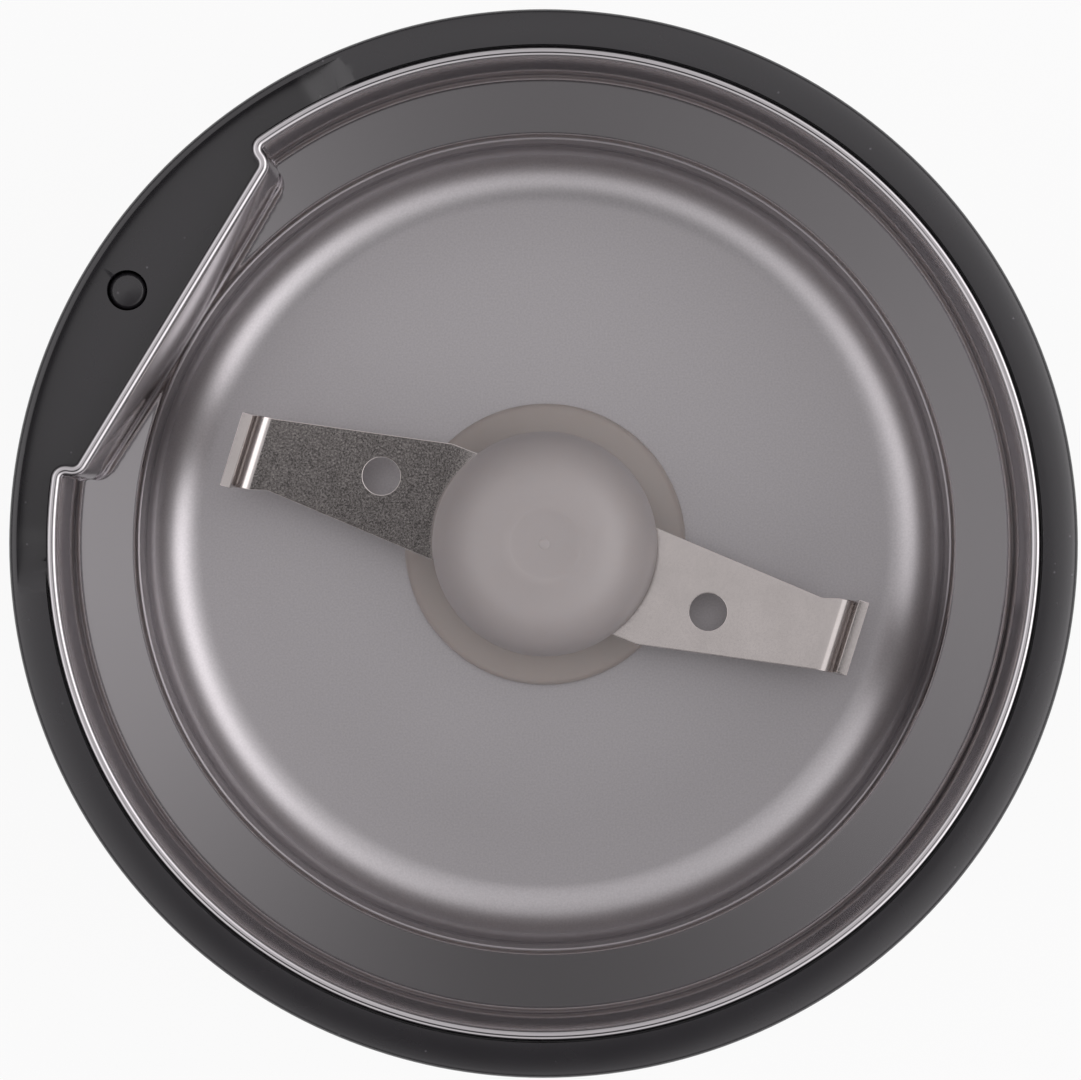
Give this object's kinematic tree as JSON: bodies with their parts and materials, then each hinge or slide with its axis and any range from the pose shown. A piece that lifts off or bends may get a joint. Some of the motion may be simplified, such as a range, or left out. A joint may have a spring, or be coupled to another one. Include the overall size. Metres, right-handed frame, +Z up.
{
  "type": "electric coffee grinder",
  "caption": "Electric blade coffee grinder without its lid: round steel bowl with a D-shaped rim, spinning two-wing blade, lid interlock pin and a motor in a plastic housing.",
  "frame": {"origin": "centre of the footprint, on the table under the rubber feet", "axes": "+Z up along the blade shaft, +X and +Y as right and up in the picture taken from above"},
  "size_m": [0.098, 0.098, 0.126],
  "materials": {
    "housing_abs": "moulded, fine matt texture",
    "bowl_steel": "spun and polished, satin floor",
    "blade_steel": "rolled sheet, stamped and bent",
    "hub_nylon": "natural, slightly translucent",
    "black_rubber": "moulded",
    "motor_frame": "moulded, glass filled",
    "bearing_bronze": "sintered",
    "lamination_steel": "stacked sheets",
    "enamelled_copper": "wound and varnished",
    "carbon": "pressed graphite",
    "plain_brass": "drawn",
    "zinc_steel": "bright zinc plated",
    "shaft_steel": "ground",
    "switch_plastic": "moulded phenolic",
    "button_red": "moulded"
  },
  "bodies": {
    "base_unit": {"housing": "housing_abs", "base_cover": "housing_abs", "grinding_bowl": "bowl_steel", "bowl_bush": "hub_nylon", "rubber_feet": "black_rubber", "cord_grommet": "black_rubber", "bowl_gasket": "black_rubber", "upper_bracket": "motor_frame", "lower_bracket": "motor_frame", "switch_holder": "motor_frame", "upper_bearing": "bearing_bronze", "lower_bearing": "bearing_bronze", "stator_core": "lamination_steel", "field_coil_left": "enamelled_copper", "field_coil_right": "enamelled_copper", "brush_left": "carbon", "brush_right": "carbon", "brush_holder_left": "plain_brass", "brush_holder_right": "plain_brass", "motor_screws": "zinc_steel", "bracket_screws": "zinc_steel", "base_screws": "zinc_steel", "brush_spring_left": "zinc_steel", "brush_spring_right": "zinc_steel", "plunger_spring": "zinc_steel", "microswitch": "switch_plastic", "brush_cap_left": "switch_plastic", "brush_cap_right": "switch_plastic"},
    "rotor": {"motor_shaft": "shaft_steel", "armature_core": "lamination_steel", "armature_winding": "enamelled_copper", "commutator": "enamelled_copper", "cooling_fan": "motor_frame", "thrust_washers": "shaft_steel", "hub_insert": "plain_brass", "blade": "blade_steel", "blade_hub": "hub_nylon"},
    "interlock": {"interlock_plunger": "housing_abs"},
    "lever": {"switch_lever": "zinc_steel"},
    "button": {"switch_button": "button_red"}
  },
  "joints": [
    {"name": "blade_spin", "type": "hinge", "parent": "base_unit", "child": "rotor", "pos_m": [0, 0, 0.1], "axis": [0, 0, 1], "continuous": true},
    {"name": "interlock_press", "type": "slide", "parent": "base_unit", "child": "interlock", "axis": [0, 0, -1], "range_m": [0, 0.002], "stiffness_N_per_m": 200, "springref_m": -0.003, "deforming": ["plunger_spring"]},
    {"name": "lever_swing", "type": "hinge", "parent": "base_unit", "child": "lever", "pos_m": [-0.03144, 0.02567, 0.1037], "axis": [0.8545, -0.5195, 0], "range_deg": [0, 12]},
    {"name": "button_press", "type": "slide", "parent": "base_unit", "child": "button", "axis": [0, 0, -1], "range_m": [0, 0.0008]}
  ],
  "couplings": [
    {"joint": "lever_swing", "follows": "interlock_press", "rad_per_m": 103.5},
    {"joint": "button_press", "follows": "interlock_press", "ratio": 0.375}
  ]
}
